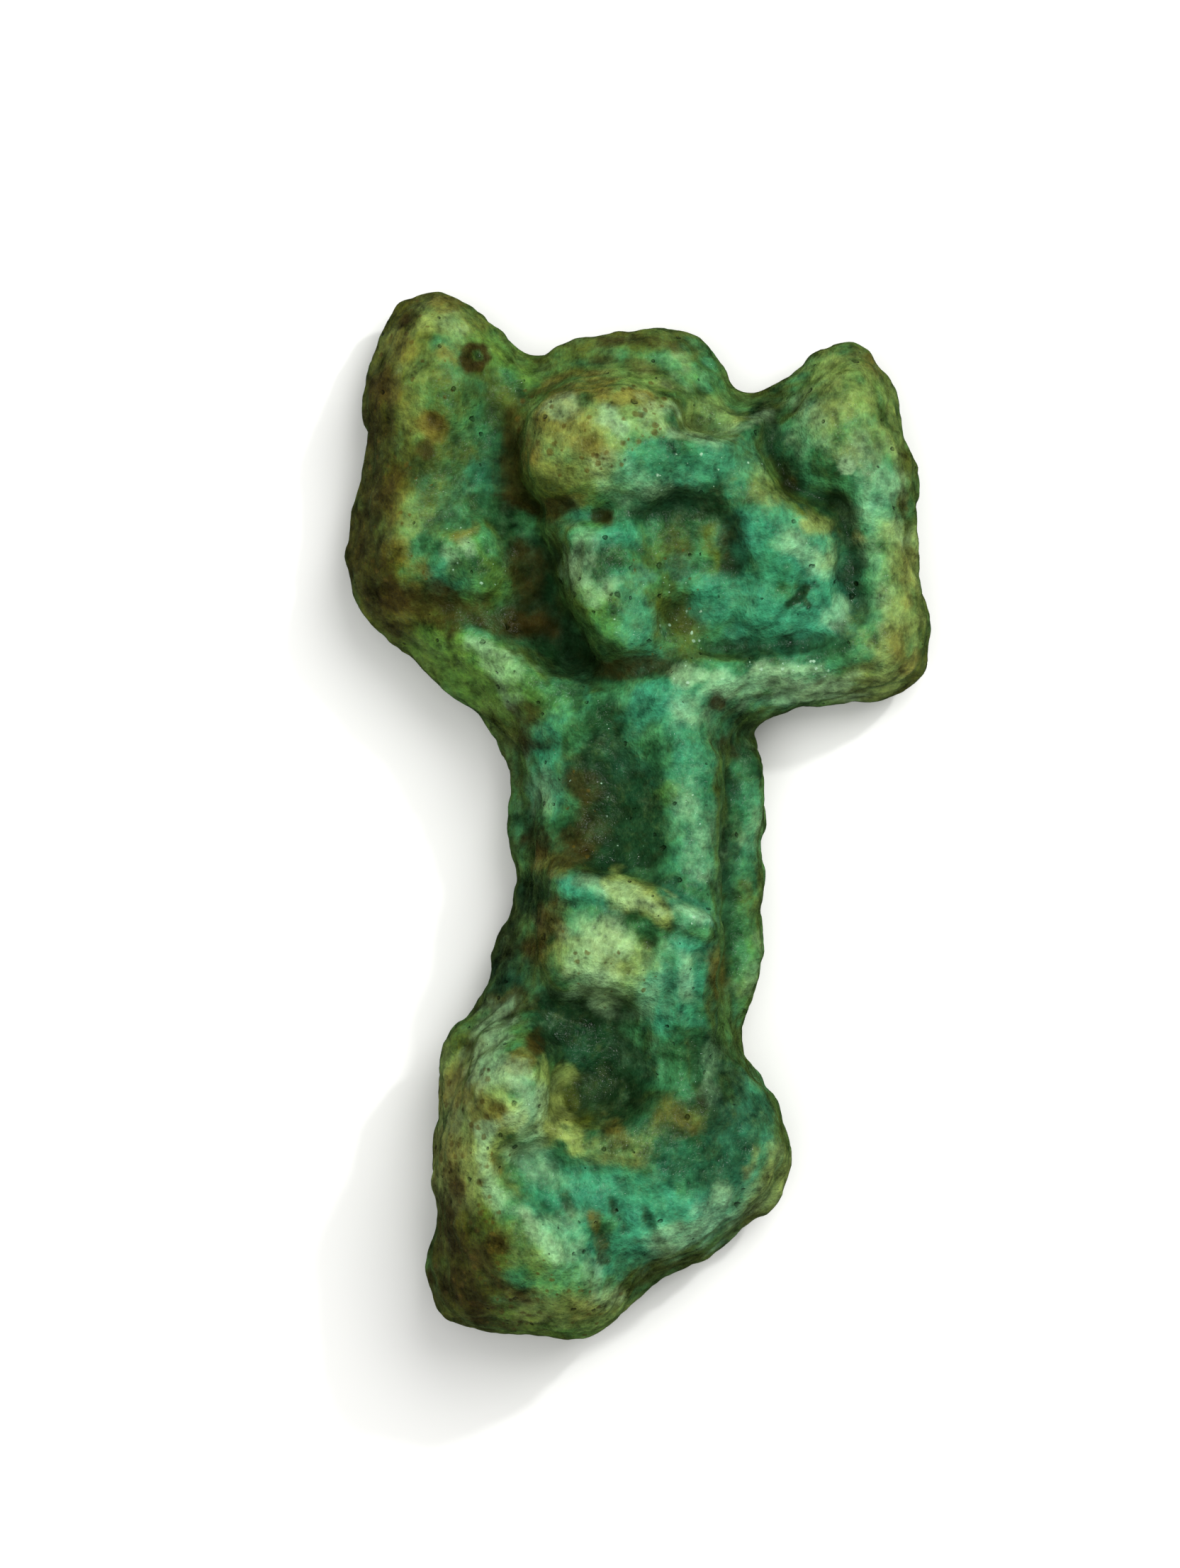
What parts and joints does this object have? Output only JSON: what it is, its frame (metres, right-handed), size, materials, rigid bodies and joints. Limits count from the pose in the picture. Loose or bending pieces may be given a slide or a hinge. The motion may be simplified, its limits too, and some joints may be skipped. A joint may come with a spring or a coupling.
{
  "type": "faience amulet",
  "caption": "Small worn green faience amulet: a kneeling figure with raised arms holds a disc behind its head; it lies on its flat back pillar.",
  "frame": {"origin": "under the middle of the outline, on the plane of the flat back, which is what the amulet lies on", "axes": "+Z out of the front of the figure, which looks up; +Y from the foot block to the head and the hands; +X to the viewer's right"},
  "size_m": [0.0168, 0.0301, 0.0088],
  "materials": {
    "faience": "worn satin glaze, mottled turquoise, green and brown"
  },
  "bodies": {
    "root": {"amulet": "faience"}
  },
  "joints": []
}
